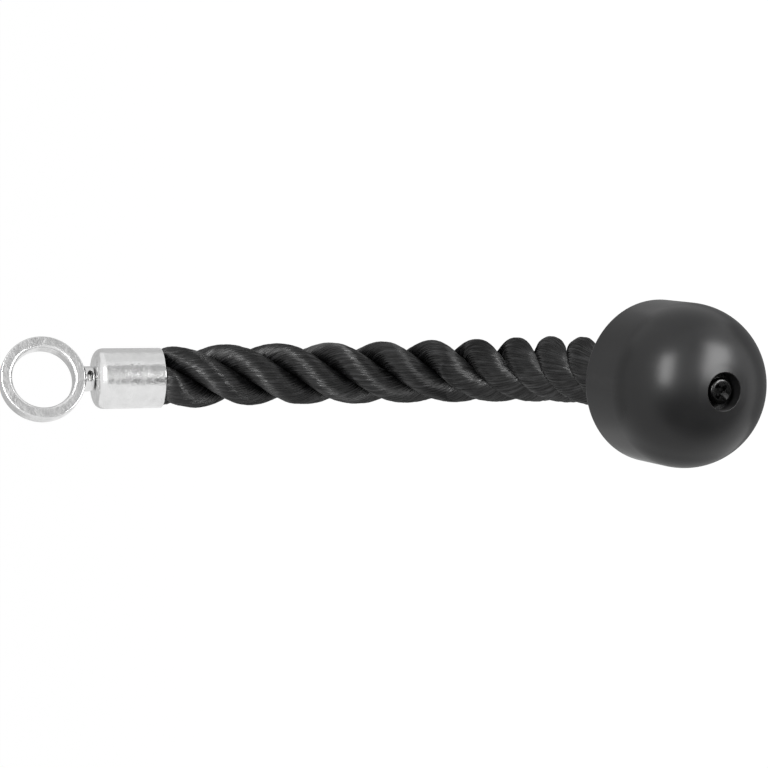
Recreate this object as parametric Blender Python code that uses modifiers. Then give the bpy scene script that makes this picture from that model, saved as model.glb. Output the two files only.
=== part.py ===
"""Single-grip triceps rope attachment for a cable machine.

It hangs by its ring: the origin is the centre of the ring, +Z is up, and the ring lies in the XZ plane.
Below the ring come the swivel bolt, the cap, the three-strand rope with its own curl, and the ball grip.
All sizes are in metres.
"""
from math import acos, cos, pi, radians, sin, tan

import bmesh
import bpy
from mathutils import Matrix, Vector, geometry

# Clearances and cuts
FIT = 0.0003
SWIVEL_GAP = 0.0004
OVERRUN = 0.004

# Eye ring, a forged ring with a well rounded bore
RING_BORE_RADIUS = 0.0146
RING_WALL = 0.0055
RING_DEPTH = 0.0086
RING_EDGE = 0.0006
RING_BORE_EDGE = 0.0016

# Boss under the ring, threaded for the swivel bolt, with a window that shows the thread
BOSS_RADIUS = 0.0060
BOSS_LENGTH = 0.0040
BOSS_EDGE = 0.0005
WINDOW_WIDTH = 0.0054
WINDOW_HEIGHT = 0.0030

# Swivel bolt and its washer, held inside the cap
BOLT_RADIUS = 0.0038
BOLT_CHAMFER = 0.0008
BOLT_HEAD_FLATS = 0.0130
BOLT_HEAD_HEIGHT = 0.0053
WASHER_RADIUS = 0.0100
WASHER_THICKNESS = 0.0014
WASHER_EDGE = 0.0003

# End cap, a drawn steel cup pressed over the rope
CAP_RADIUS = 0.0145
CAP_WALL = 0.0013
CAP_END_WALL = 0.0016
CAP_LENGTH = 0.0325
CAP_CORNER = 0.0045
CAP_RIM_EDGE = 0.0004
CAP_HOLE_CHAMFER = 0.0004

# Rope, three strands laid right-handed round each other
ROPE_RADIUS = 0.0150
LAY_LENGTH = 0.0783
STRAND_COUNT = 3
STRAND_SHARE = 0.434
LAY_START_DEG = 111.0
SQUEEZE_RUN = 0.009
SEAL_THICKNESS = 0.0010
SEAL_EDGE = 0.0003

# Ball grip, a moulded ball with a straight collar on the rope's side
BALL_RADIUS = 0.0345
BALL_COLLAR = 0.0220
BALL_DOME = 0.0316
BALL_FULLNESS = 2.15
BALL_EDGE = 0.0015
BALL_BORE_DEPTH = 0.0360
BALL_BORE_EDGE = 0.0012
RECESS_RADIUS = 0.0078
RECESS_DEPTH = 0.0065
RECESS_EDGE = 0.0008

# Ball screw, driven up the middle of the rope
SCREW_RADIUS = 0.0021
SCREW_LENGTH = 0.0340
SCREW_TIP = 0.0050
SCREW_HEAD_RADIUS = 0.0054
SCREW_HEAD_HEIGHT = 0.0031
SCREW_HEAD_EDGE = 0.0014
SLOT_WIDTH = 0.0019
SLOT_LENGTH = 0.0076
SLOT_DEPTH = 0.0022
SLOT_FOOT_SHARE = 0.45
SLOT_TURN_DEG = 20.0
SCREW_WASHER_RADIUS = 0.0072
SCREW_WASHER_THICKNESS = 0.0010

# The rope's route between the cap's mouth and the ball's face: the curl that its own stiffness keeps
ROUTE = (
    (0.0005, -0.0004, -0.0790),
    (0.0009, -0.0010, -0.0990),
    (0.0005, -0.0028, -0.1188),
    (-0.0009, -0.0080, -0.1377),
    (-0.0034, -0.0173, -0.1556),
    (-0.0065, -0.0289, -0.1714),
    (-0.0101, -0.0425, -0.1853),
    (-0.0144, -0.0584, -0.1971),
    (-0.0190, -0.0754, -0.2060),
    (-0.0239, -0.0935, -0.2126),
    (-0.0294, -0.1125, -0.2172),
    (-0.0355, -0.1314, -0.2206),
    (-0.0420, -0.1496, -0.2236),
    (-0.0486, -0.1673, -0.2264),
)
BALL_PLACE = (-0.0553, -0.1856, -0.2291)
BALL_LEAN = (-0.350, -0.928, -0.128)

# Facets
RING_SIDES = 48
CAP_SIDES = 40
BALL_SIDES = 48
SMALL_SIDES = 24
HEX_SIDES = 6
ARC_STEPS = 3
DOME_STEPS = 12
TUBE_DEPTH = 1
STRAND_SIDE_STEPS = 2
STRAND_STEPS_PER_TURN = 14
ROUTE_STEPS = 12
SHARP_DEG = 35.0
WELD = 0.00001
TRIM = 0.000003
HANDLE_SHARE = 1 / 6

# Places worked out from the sizes above
RING_RADIUS = RING_BORE_RADIUS + RING_WALL
BOSS_FOOT = -RING_RADIUS - BOSS_LENGTH
CAP_TOP = BOSS_FOOT - SWIVEL_GAP
CAP_FLOOR = CAP_TOP - CAP_END_WALL
CAP_MOUTH = CAP_TOP - CAP_LENGTH
WASHER_TOP = CAP_FLOOR - FIT
BOLT_HEAD_TOP = WASHER_TOP - WASHER_THICKNESS - FIT
BOLT_HEAD_FOOT = BOLT_HEAD_TOP - BOLT_HEAD_HEIGHT
TOP_SEAL = BOLT_HEAD_FOOT - FIT
ROPE_TOP = TOP_SEAL - SEAL_THICKNESS - FIT
CAP_BORE_RADIUS = CAP_RADIUS - CAP_WALL
PACKED_RADIUS = CAP_BORE_RADIUS - FIT
STRAND_RADIUS = ROPE_RADIUS * STRAND_SHARE
SPREAD_RADIUS = SCREW_RADIUS + FIT + STRAND_RADIUS
BALL_BORE_RADIUS = SPREAD_RADIUS + STRAND_RADIUS + FIT
RECESS_FROM_AXIS = RECESS_RADIUS / BALL_RADIUS
RECESS_RIM = -BALL_COLLAR - BALL_DOME * (1 - RECESS_FROM_AXIS ** BALL_FULLNESS) ** (1 / BALL_FULLNESS)
RECESS_FLOOR = RECESS_RIM + RECESS_DEPTH
LOW_SEAL = -BALL_BORE_DEPTH + FIT + SEAL_THICKNESS
ROPE_FOOT = LOW_SEAL + FIT


def clear_scene():
    for thing in list(bpy.data.objects):
        bpy.data.objects.remove(thing, do_unlink=True)


def new_collection(name):
    collection = bpy.data.collections.new(name)
    bpy.context.scene.collection.children.link(collection)
    return collection


def new_material(name, colour, roughness, metallic):
    material = bpy.data.materials.new(name)
    material.use_nodes = True
    shader = material.node_tree.nodes["Principled BSDF"]
    shader.inputs["Base Color"].default_value = (*colour, 1.0)
    shader.inputs["Roughness"].default_value = roughness
    shader.inputs["Metallic"].default_value = metallic
    return material


def new_object(name, mesh, material, collection, parent=None, matrix=None):
    thing = bpy.data.objects.new(name, mesh)
    collection.objects.link(thing)
    if material:
        mesh.materials.append(material)
    if parent:
        thing.parent = parent
    if matrix:
        thing.matrix_basis = matrix
    return thing


def shade(mesh):
    mesh.shade_smooth()
    mesh.set_sharp_from_angle(angle=radians(SHARP_DEG))


def rounded_outline(corners, closed):
    """Turns (radius, height, rounding) corners into points, with an arc at each rounded corner."""
    points = []
    count = len(corners)
    for index, (radius, height, rounding) in enumerate(corners):
        here = Vector((radius, height))
        at_end = not closed and index in (0, count - 1)
        if rounding <= 0 or at_end:
            points.append(here)
            continue
        before = Vector(corners[index - 1][:2]) - here
        after = Vector(corners[(index + 1) % count][:2]) - here
        half_angle = before.angle(after) / 2
        reach = rounding / tan(half_angle)
        centre = here + (before.normalized() + after.normalized()).normalized() * rounding / sin(half_angle)
        start = here + before.normalized() * reach - centre
        finish = here + after.normalized() * reach - centre
        sweep = start.angle_signed(finish)
        for step in range(ARC_STEPS + 1):
            arm = start.copy()
            arm.rotate(Matrix.Rotation(-sweep * step / ARC_STEPS, 2))
            points.append(centre + arm)
    return points


def turned(name, corners, material, collection, sides, closed=True, parent=None, matrix=None):
    """Turns an outline of (radius, height, rounding) corners about Z with a Screw modifier."""
    points = rounded_outline(corners, closed)
    mesh = bpy.data.meshes.new(name)
    edges = [(index, index + 1) for index in range(len(points) - 1)]
    if closed:
        edges.append((len(points) - 1, 0))
    mesh.from_pydata([(point.x, 0, point.y) for point in points], edges, [])
    thing = new_object(name, mesh, material, collection, parent, matrix)
    screw = thing.modifiers.new("turn", "SCREW")
    screw.axis = "Z"
    screw.angle = 2 * pi
    screw.steps = sides
    screw.render_steps = sides
    screw.use_merge_vertices = True
    screw.merge_threshold = WELD
    screw.use_smooth_shade = True
    return thing


def make_cutter(thing):
    thing.hide_render = True
    thing.display_type = "WIRE"
    return thing


def combine(thing, cutter, operation):
    boolean = thing.modifiers.new(cutter.name, "BOOLEAN")
    boolean.operation = operation
    boolean.solver = "EXACT"
    boolean.object = cutter


def cylinder_mesh(name, radius, length, sides):
    mesh = bpy.data.meshes.new(name)
    shape = bmesh.new()
    bmesh.ops.create_cone(shape, cap_ends=True, segments=sides, radius1=radius, radius2=radius, depth=length)
    shape.to_mesh(mesh)
    shape.free()
    shade(mesh)
    return mesh


def lying_along_y():
    return Matrix.Rotation(pi / 2, 4, "X")


def make_ring(metal, parts, eye):
    half = RING_DEPTH / 2
    corners = (
        (RING_BORE_RADIUS, half, RING_BORE_EDGE),
        (RING_RADIUS, half, RING_EDGE),
        (RING_RADIUS, -half, RING_EDGE),
        (RING_BORE_RADIUS, -half, RING_BORE_EDGE),
    )
    return turned("eye_ring", corners, metal, parts, RING_SIDES, parent=eye, matrix=lying_along_y())


def make_boss(metal, parts, cutters, eye):
    """A short threaded boss, saddled to the ring and cross-cut by an oval window."""
    bore = BOLT_RADIUS + FIT
    reach = -RING_RADIUS + RING_WALL / 2
    corners = (
        (bore, reach, 0),
        (BOSS_RADIUS, reach, 0),
        (BOSS_RADIUS, BOSS_FOOT, BOSS_EDGE),
        (bore, BOSS_FOOT, 0),
    )
    boss = turned("eye_boss", corners, metal, parts, SMALL_SIDES, parent=eye)
    saddle = cylinder_mesh("ring_saddle_cut", RING_RADIUS + FIT, 2 * BOSS_RADIUS + OVERRUN, RING_SIDES)
    saddle_cutter = new_object("ring_saddle_cut", saddle, None, cutters, eye, lying_along_y())
    combine(boss, make_cutter(saddle_cutter), "DIFFERENCE")
    window_middle = (BOSS_FOOT - RING_RADIUS) / 2
    oval = Matrix.Translation((0, 0, window_middle)) @ lying_along_y()
    oval = oval @ Matrix.Diagonal((1, WINDOW_HEIGHT / WINDOW_WIDTH, 1, 1))
    window = cylinder_mesh("boss_window_cut", WINDOW_WIDTH / 2, 2 * BOSS_RADIUS + OVERRUN, SMALL_SIDES)
    window.transform(oval)
    window_cutter = new_object("boss_window_cut", window, None, cutters, eye)
    combine(boss, make_cutter(window_cutter), "DIFFERENCE")
    return boss


def make_bolt(steel, parts, cutters, eye):
    """The swivel bolt: its hex head turns inside the cap and its shank is screwed up into the boss."""
    tip = -RING_RADIUS - FIT
    head = cylinder_mesh("swivel_bolt", BOLT_HEAD_FLATS / 2 / cos(pi / 6), BOLT_HEAD_HEIGHT, HEX_SIDES)
    head.transform(Matrix.Translation((0, 0, (BOLT_HEAD_TOP + BOLT_HEAD_FOOT) / 2)))
    bolt = new_object("swivel_bolt", head, steel, parts, eye)
    shank_corners = (
        (0, tip, 0),
        (BOLT_RADIUS - BOLT_CHAMFER, tip, 0),
        (BOLT_RADIUS, tip - BOLT_CHAMFER, 0),
        (BOLT_RADIUS, BOLT_HEAD_TOP - BOLT_HEAD_HEIGHT / 2, 0),
        (0, BOLT_HEAD_TOP - BOLT_HEAD_HEIGHT / 2, 0),
    )
    shank = turned("bolt_shank", shank_corners, None, cutters, SMALL_SIDES, closed=False, parent=eye)
    combine(bolt, make_cutter(shank), "UNION")
    return bolt


def make_swivel_washer(steel, parts, cap):
    corners = (
        (BOLT_RADIUS + SWIVEL_GAP, WASHER_TOP, 0),
        (WASHER_RADIUS, WASHER_TOP, WASHER_EDGE),
        (WASHER_RADIUS, WASHER_TOP - WASHER_THICKNESS, WASHER_EDGE),
        (BOLT_RADIUS + SWIVEL_GAP, WASHER_TOP - WASHER_THICKNESS, 0),
    )
    return turned("swivel_washer", corners, steel, parts, SMALL_SIDES, parent=cap)


def make_cap(metal, parts, cap):
    """A drawn cup, mouth down: rounded shoulder outside and in, and a hole for the swivel bolt."""
    hole = BOLT_RADIUS + SWIVEL_GAP
    corners = (
        (hole, CAP_TOP, CAP_HOLE_CHAMFER),
        (CAP_RADIUS, CAP_TOP, CAP_CORNER),
        (CAP_RADIUS, CAP_MOUTH, CAP_RIM_EDGE),
        (CAP_BORE_RADIUS, CAP_MOUTH, CAP_RIM_EDGE),
        (CAP_BORE_RADIUS, CAP_FLOOR, CAP_CORNER - CAP_WALL),
        (hole, CAP_FLOOR, 0),
    )
    return turned("end_cap", corners, metal, parts, CAP_SIDES, parent=cap)


def make_top_seal(rope_black, parts, cap):
    corners = (
        (0, TOP_SEAL, 0),
        (PACKED_RADIUS, TOP_SEAL, SEAL_EDGE),
        (PACKED_RADIUS, TOP_SEAL - SEAL_THICKNESS, SEAL_EDGE),
        (0, TOP_SEAL - SEAL_THICKNESS, 0),
    )
    return turned("top_seal", corners, rope_black, parts, SMALL_SIDES, closed=False, parent=cap)


def ball_frame():
    """The ball's place: its collar face on the route's end and its +Z back along the rope."""
    lean = -Vector(BALL_LEAN).normalized()
    turn = Vector((0, 0, 1)).rotation_difference(lean).to_matrix().to_4x4()
    return Matrix.Translation(BALL_PLACE) @ turn


def make_ball(plastic, parts, ball):
    """A moulded ball: flat face and collar on the rope's side, then a full dome with the screw's recess."""
    power = 2 / BALL_FULLNESS
    recess_angle = acos(RECESS_FROM_AXIS ** (1 / power))
    dome = []
    for step in range(1, DOME_STEPS):
        angle = recess_angle * step / DOME_STEPS
        dome.append((BALL_RADIUS * cos(angle) ** power, -BALL_COLLAR - BALL_DOME * sin(angle) ** power, 0))
    corners = (
        (BALL_BORE_RADIUS, 0, BALL_BORE_EDGE),
        (BALL_RADIUS, 0, BALL_EDGE),
        (BALL_RADIUS, -BALL_COLLAR, 0),
        *dome,
        (RECESS_RADIUS, RECESS_RIM, RECESS_EDGE),
        (RECESS_RADIUS, RECESS_FLOOR, 0),
        (SCREW_RADIUS + FIT, RECESS_FLOOR, 0),
        (SCREW_RADIUS + FIT, -BALL_BORE_DEPTH, 0),
        (BALL_BORE_RADIUS, -BALL_BORE_DEPTH, 0),
    )
    return turned("ball_grip", corners, plastic, parts, BALL_SIDES, parent=ball)


def make_screw_washer(steel, parts, ball):
    top = RECESS_FLOOR - FIT
    corners = (
        (SCREW_RADIUS + FIT, top, 0),
        (SCREW_WASHER_RADIUS, top, WASHER_EDGE),
        (SCREW_WASHER_RADIUS, top - SCREW_WASHER_THICKNESS, WASHER_EDGE),
        (SCREW_RADIUS + FIT, top - SCREW_WASHER_THICKNESS, 0),
    )
    return turned("screw_washer", corners, steel, parts, SMALL_SIDES, parent=ball)


def slot_cutter(name, turn_deg, face, cutters, ball):
    """One wing of the cross recess: a bar that has its full length at the screw's face and narrows inwards."""
    mesh = bpy.data.meshes.new(name)
    shape = bmesh.new()
    bmesh.ops.create_cube(shape, size=1)
    height = 2 * SLOT_DEPTH
    widened = 2 - SLOT_FOOT_SHARE
    bmesh.ops.scale(shape, verts=shape.verts, vec=(SLOT_LENGTH, SLOT_WIDTH, height))
    for vert in shape.verts:
        vert.co.x *= SLOT_FOOT_SHARE if vert.co.z > 0 else widened
    bmesh.ops.translate(shape, verts=shape.verts, vec=(0, 0, face))
    bmesh.ops.rotate(shape, verts=shape.verts, matrix=Matrix.Rotation(radians(turn_deg), 3, "Z"))
    shape.to_mesh(mesh)
    shape.free()
    return make_cutter(new_object(name, mesh, None, cutters, ball))


def make_ball_screw(steel, parts, cutters, ball):
    """Pan head screw with a cross recess, head down in the recess and point up the rope's middle."""
    seat = RECESS_FLOOR - 2 * FIT - SCREW_WASHER_THICKNESS
    face = seat - SCREW_HEAD_HEIGHT
    point = seat + SCREW_LENGTH
    corners = (
        (0, point, 0),
        (SCREW_RADIUS, point - SCREW_TIP, 0),
        (SCREW_RADIUS, seat, 0),
        (SCREW_HEAD_RADIUS, seat, 0),
        (SCREW_HEAD_RADIUS, face, SCREW_HEAD_EDGE),
        (0, face, 0),
    )
    screw = turned("ball_screw", corners, steel, parts, SMALL_SIDES, closed=False, parent=ball)
    combine(screw, slot_cutter("slot_cut_1", SLOT_TURN_DEG, face, cutters, ball), "DIFFERENCE")
    combine(screw, slot_cutter("slot_cut_2", SLOT_TURN_DEG + 90, face, cutters, ball), "DIFFERENCE")
    return screw


def make_low_seal(rope_black, parts, ball):
    radius = BALL_BORE_RADIUS - FIT
    corners = (
        (SCREW_RADIUS + FIT, LOW_SEAL, 0),
        (radius, LOW_SEAL, SEAL_EDGE),
        (radius, LOW_SEAL - SEAL_THICKNESS, SEAL_EDGE),
        (SCREW_RADIUS + FIT, LOW_SEAL - SEAL_THICKNESS, 0),
    )
    return turned("low_seal", corners, rope_black, parts, SMALL_SIDES, parent=ball)


def rope_stations():
    """Follows the route through its points and returns even stations of (distance, place, direction)."""
    lean = Vector(BALL_LEAN).normalized()
    ball_place = Vector(BALL_PLACE)
    knots = [Vector((0, 0, ROPE_TOP + STRAND_RADIUS)), Vector((0, 0, CAP_MOUTH))]
    knots += [Vector(point) for point in ROUTE]
    knots += [ball_place, ball_place + lean * (STRAND_RADIUS - ROPE_FOOT)]
    last = len(knots) - 1
    handles = []
    for index, knot in enumerate(knots):
        handles.append((knots[min(index + 1, last)] - knots[max(index - 1, 0)]) * HANDLE_SHARE)
    handles[0] = handles[1] = Vector((0, 0, -1)) * handles[1].length
    handles[-1] = handles[-2] = lean * handles[-2].length
    line = [knots[0]]
    face_index = 0
    for index in range(last):
        piece = geometry.interpolate_bezier(knots[index], knots[index] + handles[index],
                                            knots[index + 1] - handles[index + 1], knots[index + 1],
                                            ROUTE_STEPS)
        line += piece[1:]
        if index == last - 2:
            face_index = len(line) - 1
    distances = [0]
    for before, after in zip(line, line[1:]):
        distances.append(distances[-1] + (after - before).length)
    return line, distances, distances[face_index]


def along(line, distances, wanted):
    """The place on the line at a distance from its start."""
    index = 1
    while index < len(line) - 1 and distances[index] < wanted:
        index += 1
    share = (wanted - distances[index - 1]) / (distances[index] - distances[index - 1])
    return line[index - 1].lerp(line[index], share)


def ease(value):
    value = min(max(value, 0), 1)
    return value * value * (3 - 2 * value)


def strand_lines():
    """The centre line and radius of each strand, from the cap's floor to the ball's bore."""
    line, distances, face = rope_stations()
    mouth = (line[0] - Vector((0, 0, CAP_MOUTH))).length
    count = round(distances[-1] / LAY_LENGTH * STRAND_STEPS_PER_TURN)
    step = distances[-1] / count
    places = [along(line, distances, step * index) for index in range(count + 1)]
    side = Vector((1, 0, 0))
    strands = [[] for index in range(STRAND_COUNT)]
    for index, place in enumerate(places):
        ahead = places[min(index + 1, count)] - places[max(index - 1, 0)]
        ahead.normalize()
        side = (side - ahead * side.dot(ahead)).normalized()
        across = ahead.cross(side)
        distance = step * index
        packed = 1 - ease((distance - mouth) / SQUEEZE_RUN)
        spread = ease((distance - face) / SQUEEZE_RUN)
        reach = ROPE_RADIUS + (PACKED_RADIUS - ROPE_RADIUS) * packed
        radius = reach * STRAND_SHARE
        swing = reach - radius
        swing += (SPREAD_RADIUS - swing) * spread
        for number in range(STRAND_COUNT):
            angle = radians(LAY_START_DEG) + 2 * pi * ((distance - mouth) / LAY_LENGTH + number / STRAND_COUNT)
            arm = side * cos(angle) + across * sin(angle)
            strands[number].append((place + arm * swing, radius))
    return strands


def print_least_gap(strands):
    """Prints the least gap between neighbouring strands, measured on their centre lines."""
    least = ROPE_RADIUS
    for number, strand in enumerate(strands):
        neighbour = strands[(number + 1) % STRAND_COUNT]
        for place, radius in strand:
            for before, after in zip(neighbour, neighbour[1:]):
                span = after[0] - before[0]
                share = min(max((place - before[0]).dot(span) / span.length_squared, 0), 1)
                other = before[0].lerp(after[0], share)
                least = min(least, (place - other).length - radius - (before[1] + after[1]) / 2)
    print("least gap between strands", least)


def make_strand(name, points, rope_black, parts):
    """One strand: a tube along its helix, made a mesh and cut square at both ends of the rope."""
    curve = bpy.data.curves.new(name, "CURVE")
    curve.dimensions = "3D"
    curve.bevel_depth = TUBE_DEPTH
    curve.bevel_resolution = STRAND_SIDE_STEPS
    curve.use_fill_caps = True
    curve.render_resolution_u = 0
    spline = curve.splines.new("POLY")
    spline.points.add(len(points) - 1)
    for target, (place, radius) in zip(spline.points, points):
        target.co = (*place, 1)
        target.radius = radius
    guide = new_object(name + "_curve", curve, None, parts)
    bpy.context.view_layer.update()
    evaluated = guide.evaluated_get(bpy.context.evaluated_depsgraph_get())
    mesh = bpy.data.meshes.new_from_object(evaluated)
    mesh.name = name
    matrix = guide.matrix_world.copy()
    bpy.data.objects.remove(guide, do_unlink=True)
    shape = bmesh.new()
    shape.from_mesh(mesh)
    bmesh.ops.remove_doubles(shape, verts=shape.verts, dist=WELD)
    foot = ball_frame()
    ends = ((Vector((0, 0, ROPE_TOP)), Vector((0, 0, 1))),
            (foot @ Vector((0, 0, ROPE_FOOT)), Vector(BALL_LEAN)))
    for place, outwards in ends:
        bmesh.ops.bisect_plane(shape, geom=[*shape.verts, *shape.edges, *shape.faces], dist=TRIM,
                               plane_co=place, plane_no=outwards, clear_outer=True)
        rim = [edge for edge in shape.edges if edge.is_boundary]
        bmesh.ops.contextual_create(shape, geom=rim)
    bmesh.ops.recalc_face_normals(shape, faces=shape.faces)
    shape.to_mesh(mesh)
    shape.free()
    mesh.materials.clear()
    shade(mesh)
    return new_object(name, mesh, rope_black, parts, matrix=matrix)


def main():
    clear_scene()
    parts = new_collection("triceps_rope_attachment")
    cutters = new_collection("cutters")
    plated = new_material("plated_steel", (0.72, 0.72, 0.73), 0.28, 1.0)
    zinc = new_material("zinc_steel", (0.55, 0.55, 0.56), 0.4, 1.0)
    rope_black = new_material("rope_black", (0.012, 0.012, 0.014), 0.55, 0.0)
    plastic = new_material("ball_plastic", (0.045, 0.045, 0.048), 0.42, 0.0)
    blacked = new_material("blacked_steel", (0.05, 0.05, 0.05), 0.35, 1.0)

    eye = new_object("eye_body", None, None, parts)
    cap = new_object("cap_body", None, None, parts)
    ball = new_object("ball_body", None, None, parts, matrix=ball_frame())
    make_ring(plated, parts, eye)
    make_boss(plated, parts, cutters, eye)
    make_bolt(zinc, parts, cutters, eye)
    make_cap(plated, parts, cap)
    make_swivel_washer(zinc, parts, cap)
    make_top_seal(rope_black, parts, cap)
    make_ball(plastic, parts, ball)
    make_screw_washer(blacked, parts, ball)
    make_ball_screw(blacked, parts, cutters, ball)
    make_low_seal(rope_black, parts, ball)
    strands = strand_lines()
    print_least_gap(strands)
    for number, points in enumerate(strands):
        make_strand("strand_%d" % (number + 1), points, rope_black, parts)


main()
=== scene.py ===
"""Looks of the single-grip triceps rope attachment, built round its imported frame.

All sizes are in metres. The origin is the centre of the ring, +Z is up, and the rope hangs below the ring.
The picture axes are the camera's own right, up and back, and lamps and cards are placed by them.
"""
from math import acos, cos, pi, radians, sin

import bmesh
import bpy
import numpy as np
from mathutils import Matrix, Vector, geometry, noise


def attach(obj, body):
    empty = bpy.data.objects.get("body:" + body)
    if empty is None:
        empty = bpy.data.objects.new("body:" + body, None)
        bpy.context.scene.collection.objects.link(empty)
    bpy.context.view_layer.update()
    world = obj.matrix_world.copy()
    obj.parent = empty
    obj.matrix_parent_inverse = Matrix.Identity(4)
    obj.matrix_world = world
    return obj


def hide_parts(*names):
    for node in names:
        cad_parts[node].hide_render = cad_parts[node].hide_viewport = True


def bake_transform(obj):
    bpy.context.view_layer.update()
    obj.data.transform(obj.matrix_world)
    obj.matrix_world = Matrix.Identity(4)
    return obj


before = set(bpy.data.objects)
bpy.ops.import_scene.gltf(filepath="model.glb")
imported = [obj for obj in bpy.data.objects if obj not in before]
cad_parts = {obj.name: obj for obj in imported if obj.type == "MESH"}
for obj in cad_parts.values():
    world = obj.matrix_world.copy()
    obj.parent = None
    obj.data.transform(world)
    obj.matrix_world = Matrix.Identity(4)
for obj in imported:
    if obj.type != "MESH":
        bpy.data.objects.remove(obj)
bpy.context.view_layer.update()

# Clearances, welds and cuts
FIT = 0.0003
SEAT = 0.00006
SWIVEL_GAP = 0.0004
OVERRUN = 0.004
WELD = 0.000005
SHARP_DEG = 40.0

# Eye ring and boss
RING_BORE_RADIUS = 0.0146
RING_WALL = 0.0055
RING_DEPTH = 0.0086
RING_EDGE = 0.0006
RING_BORE_EDGE = 0.0016
BOSS_RADIUS = 0.0060
BOSS_LENGTH = 0.0040
BOSS_EDGE = 0.0006
WINDOW_WIDTH = 0.0054
WINDOW_HEIGHT = 0.0030
WINDOW_EDGE = 0.00018

# Swivel bolt
BOLT_RADIUS = 0.0038
BOLT_CHAMFER = 0.0008
BOLT_HEAD_FLATS = 0.0130
BOLT_HEAD_HEIGHT = 0.0053
BOLT_HEAD_EDGE = 0.0004
WASHER_THICKNESS = 0.0014
THREAD_PITCH = 0.00125
THREAD_DEPTH = 0.00062
THREAD_CREST = 0.00012
THREAD_STEPS = 32

# End cap
CAP_RADIUS = 0.0145
CAP_WALL = 0.0013
CAP_END_WALL = 0.0016
CAP_LENGTH = 0.0325
CAP_CORNER = 0.0045
CAP_RIM_EDGE = 0.0004
CAP_HOLE_CHAMFER = 0.0004

# Rope, three strands of many yarns; its length counts what the cap and the ball hide
ROPE_RADIUS = 0.0150
LAY_LENGTH = 0.0783
STRAND_COUNT = 3
STRAND_SHARE = 0.462
TUCKED_SHARE = 0.434
LAY_START_DEG = 111.0
SQUEEZE_RUN = 0.006
SPREAD_RUN = 0.009
SEAL_THICKNESS = 0.0010
CONTACT_DEG = 59.6
CORE_RADIUS = 0.0004
YARN_COUNT = 30
YARN_LAY = 0.0325
YARN_DEPTH = 0.00042
YARN_PROFILE = (0.0, 0.74, 1.0, 1.0, 0.74)
YARN_STRAY = 0.00034
STRAY_LENGTH = 0.0085
STRAY_YARN_STEP = 3.7
STRAY_STRAND_STEP = 11.3
MOUTH_FULLNESS = 0.85
MOUTH_OVERHANG = 0.5
FULL_RUN = 0.016
FREE_RINGS = 204
TUCKED_RINGS = 7
STATION_STEP = 0.001
ROUTE_STEPS = 12
HANDLE_PARTS = 6

# Ball grip
BALL_RADIUS = 0.0345
BALL_COLLAR = 0.0220
BALL_DOME = 0.0316
BALL_FULLNESS = 2.15
BALL_EDGE = 0.0016
BALL_BORE_DEPTH = 0.0360
BALL_BORE_EDGE = 0.0012
RECESS_RADIUS = 0.0078
RECESS_DEPTH = 0.0065
RECESS_EDGE = 0.0003

# Ball screw and its washer
SCREW_RADIUS = 0.0021
SCREW_LENGTH = 0.0340
SCREW_TIP = 0.0050
SCREW_HEAD_RADIUS = 0.0054
SCREW_HEAD_HEIGHT = 0.0031
SCREW_HEAD_EDGE = 0.0014
SLOT_WIDTH = 0.0019
SLOT_LENGTH = 0.0076
SLOT_DEPTH = 0.0022
SLOT_FOOT_SHARE = 0.45
SLOT_TURN_DEG = 20.0
SLOT_EDGE = 0.00022
SCREW_WASHER_RADIUS = 0.0072
SCREW_WASHER_THICKNESS = 0.0010
SCREW_WASHER_EDGE = 0.0003

# The rope's route between the cap's mouth and the ball's face, as the frame has it
ROUTE = (
    (0.0005, -0.0004, -0.0790),
    (0.0009, -0.0010, -0.0990),
    (0.0005, -0.0028, -0.1188),
    (-0.0009, -0.0080, -0.1377),
    (-0.0034, -0.0173, -0.1556),
    (-0.0065, -0.0289, -0.1714),
    (-0.0101, -0.0425, -0.1853),
    (-0.0144, -0.0584, -0.1971),
    (-0.0190, -0.0754, -0.2060),
    (-0.0239, -0.0935, -0.2126),
    (-0.0294, -0.1125, -0.2172),
    (-0.0355, -0.1314, -0.2206),
    (-0.0420, -0.1496, -0.2236),
    (-0.0486, -0.1673, -0.2264),
)
BALL_PLACE = (-0.0553, -0.1856, -0.2291)
BALL_LEAN = (-0.350, -0.928, -0.128)

# Facets
RING_SIDES = 144
CAP_SIDES = 128
BALL_SIDES = 160
BOSS_SIDES = 72
SMALL_SIDES = 48
HEX_SIDES = 6
ARC_STEPS = 6
SOFT_STEPS = 2
DOME_STEPS = 40
STRAND_SIDES = YARN_COUNT * len(YARN_PROFILE)

# Places worked out from the sizes above
RING_RADIUS = RING_BORE_RADIUS + RING_WALL
BOSS_FOOT = -RING_RADIUS - BOSS_LENGTH
CAP_TOP = BOSS_FOOT - SWIVEL_GAP
CAP_FLOOR = CAP_TOP - CAP_END_WALL
CAP_MOUTH = CAP_TOP - CAP_LENGTH
BOLT_HEAD_TOP = CAP_FLOOR - FIT - WASHER_THICKNESS - FIT
BOLT_HEAD_FOOT = BOLT_HEAD_TOP - BOLT_HEAD_HEIGHT
ROPE_TOP = BOLT_HEAD_FOOT - FIT - SEAL_THICKNESS - FIT
CAP_BORE_RADIUS = CAP_RADIUS - CAP_WALL
PACKED_RADIUS = CAP_BORE_RADIUS - FIT
TUCKED_RADIUS = ROPE_RADIUS * TUCKED_SHARE
SPREAD_RADIUS = SCREW_RADIUS + FIT + TUCKED_RADIUS
BALL_BORE_RADIUS = SPREAD_RADIUS + TUCKED_RADIUS + FIT
ROPE_FOOT = -BALL_BORE_DEPTH + FIT + SEAL_THICKNESS + FIT
RECESS_FROM_AXIS = RECESS_RADIUS / BALL_RADIUS
RECESS_RIM = -BALL_COLLAR - BALL_DOME * (1 - RECESS_FROM_AXIS ** BALL_FULLNESS) ** (1 / BALL_FULLNESS)
RECESS_FLOOR = RECESS_RIM + RECESS_DEPTH

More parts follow.
